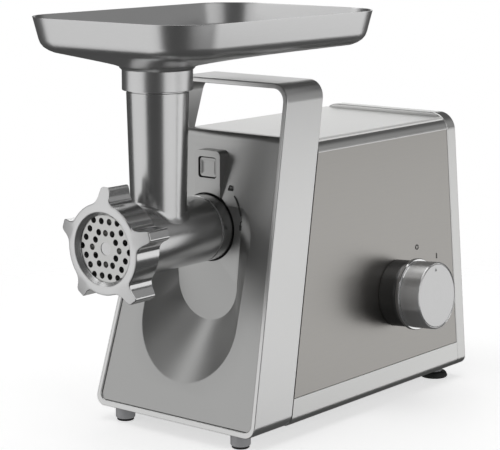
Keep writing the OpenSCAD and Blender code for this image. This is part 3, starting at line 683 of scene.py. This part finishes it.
def trayOutline(inset, radius, z, steps=16):
    half = (trayHigh.x - trayLow.x) / 2 - inset - radius
    long = (trayHigh.y - trayLow.y) / 2 - inset - radius
    middle = (trayHigh + trayLow) / 2
    corners = [arc((middle.x + sx * half, middle.y + sy * long), radius, start, start + 90, steps)
               for sx, sy, start in ((1, 1, 0), (-1, 1, 90), (-1, -1, 180), (1, -1, 270))]
    ring = []
    for corner, following in zip(corners, corners[1:] + corners[:1]):
        ring += corner
        (x0, y0), (x1, y1) = corner[-1], following[0]
        ring += [(x0 + (x1 - x0) * k / 10, y0 + (y1 - y0) * k / 10) for k in range(1, 10)]
    return [(x, y, z) for x, y in ring]


def makeTray():
    tray = {"sheet": 1.3 * mm, "collar": 27.2 * mm, "bore": 23.9 * mm, "throat": 30.4 * mm,
            "collarLength": 18 * mm, "floor": 36.5 * mm}
    # How far in, how far down and how round each level of the wall is, from the rim to the floor
    wall = [(0.0, 0, 40), (0.25, 1.1, 40), (4, 17, 37), (5.2, 20.2, 36), (7.4, 23, 34),
            (10.6, 25.3, 31.5), (14.5, 27, 28)]
    sheet = tray["sheet"] / mm
    lining = [(1.1, 0, 39), (1.5, 1.0, 38.6)]
    lining += [(inset + sheet, drop - 0.4, corner - sheet) for inset, drop, corner in wall[2:]]
    collarTop = trayHigh.z - tray["floor"]

    def towardsTube(ring, radius, z, share):
        made = []
        for x, y, height in ring:
            away = Vector((x - midX, y - tubeY))
            spot = away.lerp(away.normalized() * radius, share)
            made.append((midX + spot.x, tubeY + spot.y, height + (z - height) * share))
        return made

    def wallRings(levels):
        return [trayOutline(inset * mm, corner * mm, trayHigh.z - drop * mm)
                for inset, drop, corner in levels]

    rings = wallRings(wall)
    last = rings[-1]
    for share in (0.2, 0.4, 0.6, 0.8, 0.93):
        rings.append(towardsTube(last, tray["throat"], collarTop, share))
    radius, length, bore = tray["collar"], tray["collarLength"], tray["bore"]
    for reach, drop in ((radius + 2.2 * mm, 0.6 * mm), (radius + 1.7 * mm, 1.8 * mm),
                        (radius + 0.8 * mm, 2.6 * mm), (radius, 3.4 * mm), (radius, length),
                        (radius - 0.3 * mm, length + 0.6 * mm), (bore + 0.7 * mm, length + 0.9 * mm),
                        (bore, length + 0.6 * mm), (bore, 0)):
        rings.append(towardsTube(last, reach, collarTop - drop, 1))
    inner = wallRings(lining)
    last = inner[-1]
    for share in (0.25, 0.5, 0.75, 0.94):
        inner.append(towardsTube(last, bore + 1.1 * mm, collarTop + 1.6 * mm, share))
    inner.append(towardsTube(last, bore + 0.2 * mm, collarTop + 1.2 * mm, 1))
    piece = ringStack("feedTray", rings + inner[::-1], closed=True)
    dress(soften(piece, 0, 50), "tray", "tray_metal", ["tray"])
    key = {"half": 2 * mm, "front": 24.6 * mm, "back": 29.2 * mm, "low": trayLow.z + 3 * mm,
           "high": collarTop - 1 * mm}
    strip = blockBetween("trayKey", (midX - key["half"], tubeY + key["front"], key["low"]),
                         (midX + key["half"], tubeY + key["back"], key["high"]))
    dress(soften(strip, 0.6 * mm), "tray", "tray_metal")


# ---- knob and feet

def makeKnob():
    turn = knobAxis.to_track_quat("Z", "Y").to_matrix().to_4x4()
    place = Matrix.Translation(knobPlace) @ turn
    # Each profile is a list of radius and height over the side panel, in millimetres
    bezel = [(27.4, -0.2), (28.0, 0.4), (28.0, 13.5), (27.6, 15.5), (26.6, 17.0), (22, 17.0), (22, -0.2)]
    flange = [(24, 17.7), (29.3, 17.7), (30, 18.2), (30, 20.2), (29.4, 20.9), (27.4, 21.0),
              (27.2, 21.4), (24, 21.4)]
    body = [(10, 21.2), (27.2, 21.2), (28, 21.9), (28, 38.9), (27.7, 39.6), (27.2, 40),
            (26.9, 39.8), (26.7, 39.2), (10, 39.2)]
    cap = [(0.05, 39.75), (25.6, 39.75), (26.2, 39.5), (26.5, 39.2), (26.5, 38.6), (0.05, 38.6)]
    for name, profile, rider, slotName, node, finish in (
            ("knobBezel", bezel, "base", "knob_dark", "knob_bezel", None),
            ("knobFlange", flange, "knob", "knob_bright", "knob_flange", None),
            ("knobGrip", body, "knob", "knob_light", "knob_body", None),
            ("knobCap", cap, "knob", "knob_light", "knob_cap", "knobFace")):
        piece = lathe(name, [(r * mm, a * mm) for r, a in profile], place)
        dress(soften(piece, 0, 38), rider, slotName, [node], finish)
    up = [(0, 23.2), (-1.5, 20.6), (1.5, 20.6)]
    side = Vector((0, 0, 1)).cross(knobAxis).normalized()
    rise = knobAxis.cross(side)
    rings = [[knobPlace + knobAxis * out * mm + side * a * mm + rise * b * mm for a, b in up]
             for out in (39.6, 39.86)]
    dress(soften(ringStack("knobPointer", rings), 0), "knob", "knob_dark")


def makeFeet():
    def turnedPiece(name, x, y, profile, slotName, stands):
        place = Matrix.Translation((x, y, 0))
        piece = lathe(name, [(r * mm, z * mm) for r, z in profile], place)
        dress(soften(piece, 0), "base", slotName, stands)

    feet = {"frontInset": 8 * mm, "rearInset": 7 * mm, "padInset": 12 * mm}
    frontLow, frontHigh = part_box("front_feet")
    rearLowest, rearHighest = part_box("rear_feet")
    padLow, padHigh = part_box("foot_pads")
    frontY0 = (frontLow.y + frontHigh.y) / 2
    rearY0 = (rearLowest.y + rearHighest.y) / 2
    frontFoot = [(0.05, 2), (7.2, 2), (8.0, 2.8), (8.0, 11.0), (7.6, 11.8), (0.05, 11.8)]
    rearFoot = [(0.05, 5), (6.6, 5), (7.0, 5.5), (7.0, 11.4), (6.6, 11.8), (0.05, 11.8)]
    widePad = [(0.05, 0), (11.2, 0), (12.0, 0.8), (12.0, 1.6), (11.2, 3.6), (10.4, 4.6), (8.6, 5.0),
               (0.05, 5)]
    smallPad = [(0.05, 0), (6.5, 0), (7.0, 0.5), (7.0, 1.9), (0.05, 1.9)]
    frontX = (frontLow.x + feet["frontInset"], frontHigh.x - feet["frontInset"])
    rearX = (rearLowest.x + feet["rearInset"], rearHighest.x - feet["rearInset"])
    padX = (padLow.x + feet["padInset"], padHigh.x - feet["padInset"])
    padY = padHigh.y - feet["padInset"]
    turnedPiece("frontFootLeft", frontX[0], frontY0, frontFoot, "feet", ["front_feet"])
    turnedPiece("frontFootRight", frontX[1], frontY0, frontFoot, "feet", ())
    turnedPiece("rearFootLeft", rearX[0], rearY0, rearFoot, "feet", ["rear_feet"])
    turnedPiece("rearFootRight", rearX[1], rearY0, rearFoot, "feet", ())
    turnedPiece("padRearLeft", padX[0], padY, widePad, "foot_pads", ["foot_pads"])
    turnedPiece("padRearRight", padX[1], padY, widePad, "foot_pads", ())
    turnedPiece("padFrontLeft", frontX[0], frontY0, smallPad, "foot_pads", ())
    turnedPiece("padFrontRight", frontX[1], frontY0, smallPad, "foot_pads", ())


def makePortRing():
    place = Matrix.Translation((midX, portY, axisZ)) @ Matrix.Rotation(math.radians(90), 4, "X")
    profile = [(26.75, -2.8), (27.9, -2.8), (27.9, -0.9), (27.6, -0.5), (27.0, -0.5), (26.75, -0.9)]
    dress(soften(lathe("portGasket", [(r * mm, z * mm) for r, z in profile], place), 0), "base", "gasket",
          ["port_gasket"])


# ---- printed marks: two padlocks, the arc between them, and the switch positions

def flatMark(name, outline, origin, across, upward, out):
    ink = {"sunk": -0.05 * mm, "proud": 0.12 * mm}
    rings = [[origin + across * x * mm + upward * z * mm + out * depth for x, z in outline]
             for depth in (ink["sunk"], ink["proud"])]
    dress(soften(ringStack(name, rings), 0), "base", "gasket", (), "printInk")


def makeMarks():
    out = Vector((0, -1, 0))
    across, upward = Vector((1, 0, 0)), Vector((0, 0, 1))

    def onFront(x, z):
        return Vector((midX + x * mm, max(portY, frontY(axisZ + z * mm) + 1.5 * mm), axisZ + z * mm))

    for name, x, z, opened in (("markLocked", 21.4, 31.2, False), ("markUnlocked", 35.4, 3.4, True)):
        block = [(-2.6, -2.6), (2.6, -2.6), (2.6, 1.6), (-2.6, 1.6)]
        origin = onFront(x, z)
        flatMark(name + "Body", block, origin, across, upward, out)
        rise = 0.9 if opened else 0.0
        shackle = [(-1.9, 1.6)] + arc((0, 2.3 + rise), 1.9, 180, 0, 8) + [(1.9, 2.8 if opened else 1.6)]
        shackle += [(1.0, 2.8 if opened else 1.6)] + arc((0, 2.3 + rise), 1.0, 0, 180, 8) + [(-1.0, 1.6)]
        flatMark(name + "Shackle", shackle, origin, across, upward, out)
    spots = [(26.0, 27.4), (28.6, 24.9), (30.8, 22.0), (32.6, 18.8), (34.0, 15.0), (34.6, 12.2)]
    widths = [0.7, 0.95, 0.95, 0.9, 1.2, 0.8]
    rings = []
    for (x, z), wide in zip(spots, widths):
        place = onFront(x, z)
        side = Vector((0.75, 0, 0.6)).normalized()
        rings.append([place + side * wide * s * mm + out * d * mm
                      for s, d in ((-1, -0.05), (1, -0.05), (1, 0.14), (-1, 0.14))])
    dress(soften(ringStack("markTwist", rings), 0), "base", "gasket", (), "printInk")
    side = Vector((0, 0, 1)).cross(knobAxis).normalized()
    rise = knobAxis.cross(side)
    for name, y, z, outline in (
            ("markOff", 32.5, 34, arc((0, 0), 2.2, 0, 350, 20) + arc((0, 0), 1.6, 350, 0, 20)),
            ("markOn", 62, 22, [(-0.35, -2.3), (0.35, -2.3), (0.35, 2.3), (-0.35, 2.3)])):
        origin = knobPlace + side * y * mm + rise * z * mm
        flatMark(name, outline, origin, side, rise, knobAxis)


makeArch()
makeHousing()
makeRearFrame()
makeFascia()
makeButton()
print("casing ready")
makeHead()
makeRingNut()
makePlate()
makeTray()
print("head and tray ready")
makeKnob()
makeFeet()
makePortRing()
makeMarks()
print("knob, feet and marks ready")


# ---- floor, light and camera

def makeStage():
    floor = meshPiece("floor", [(-3, -3, 0), (3, -3, 0), (3, 3, 0), (-3, 3, 0)], [(0, 1, 2, 3)])
    made, graph = newMaterial("paleFloor")
    soft = grain(graph, (1, 1, 1), 3, 2.0)
    spot = graph.add("ShaderNodeTexCoord", None, None, objectSpace)
    reach = graph.add("ShaderNodeVectorMath", {"operation": "LENGTH"}, [spot], 1)
    fade = graph.add("ShaderNodeMapRange", {"interpolation_type": "SMOOTHSTEP"},
                     {"Value": reach, "From Min": 0.25, "From Max": 0.8, "To Min": 1.0, "To Max": 0.0})
    surface(graph, {"Base Color": shadeBetween(graph, soft, (0.84, 0.84, 0.84), (0.9, 0.9, 0.9)),
                    "Roughness": 0.65, "Alpha": fade, "Emission Color": (1.0, 1.0, 1.0),
                    "Emission Strength": 0.6})
    floor.data.materials.append(made)
    floor.visible_glossy = False


# A softbox standing round the object: where it stands, its width and its lower and upper
# ends, and how bright its face looks
def softbox(name, azimuth, distance, width, low, high, glow):
    turn = math.radians(azimuth)
    place = Vector((distance * math.sin(turn), -distance * math.cos(turn), (low + high) / 2))
    aim = Vector((0, 0, place.z))
    data = bpy.data.lights.new(name, "AREA")
    data.shape, data.size, data.size_y = "RECTANGLE", width, high - low
    data.energy = glow * math.pi * width * (high - low)
    light = bpy.data.objects.new(name, data)
    bpy.context.scene.collection.objects.link(light)
    light.location = place
    light.rotation_mode = "QUATERNION"
    light.rotation_quaternion = (aim - place).to_track_quat("-Z", "Y")
    light.visible_camera = False
    return light


def makeLights():
    world = bpy.data.worlds.new("studio")
    bpy.context.scene.world = world
    world.use_nodes = True
    graph = Graph(world.node_tree)
    ray = graph.add("ShaderNodeLightPath", None, None, 0)
    tone = shadeBetween(graph, ray, (0.08, 0.08, 0.08), (1.0, 1.0, 1.0))
    sky = graph.add("ShaderNodeBackground", None, {"Color": tone, "Strength": 1.0})
    graph.add("ShaderNodeOutputWorld", None, [sky])
    softbox("frontLeft", -33, 1.25, 1.5, -1.1, 1.1, 0.8)
    softbox("right", 85, 1.25, 1.3, -0.3, 1.1, 0.85)
    softbox("backRight", 140, 1.5, 1.3, -0.45, 0.3, 0.9)
    softbox("highLeft", -68, 1.0, 0.7, 0.75, 1.5, 1.1)
    softbox("innerWall", 140, 1.5, 1.3, 0.5, 1.2, 0.25)
    softbox("backLeft", 219, 1.6, 0.7, 0.25, 0.85, 1.2)
    over = softbox("overhead", 0, 0.001, 1.8, 1.2, 3.0, 1.4)
    over.rotation_quaternion = (1, 0, 0, 0)


def makeCamera():
    view = {"azimuth": 39.0, "elevation": 10.42, "lens": 130.2, "place": (0.904, -1.1473, 0.4255)}
    a, e = math.radians(view["azimuth"]), math.radians(view["elevation"])
    ahead = Vector((-math.sin(a) * math.cos(e), math.cos(a) * math.cos(e), -math.sin(e)))
    data = bpy.data.cameras.new("camera")
    data.lens, data.sensor_width = view["lens"], 36
    camera = bpy.data.objects.new("camera", data)
    bpy.context.scene.collection.objects.link(camera)
    camera.location = view["place"]
    camera.rotation_mode = "QUATERNION"
    camera.rotation_quaternion = ahead.to_track_quat("-Z", "Y")
    bpy.context.scene.camera = camera


makeStage()
makeLights()
makeCamera()
bpy.context.scene.view_settings.view_transform = "Standard"
print("stage ready")
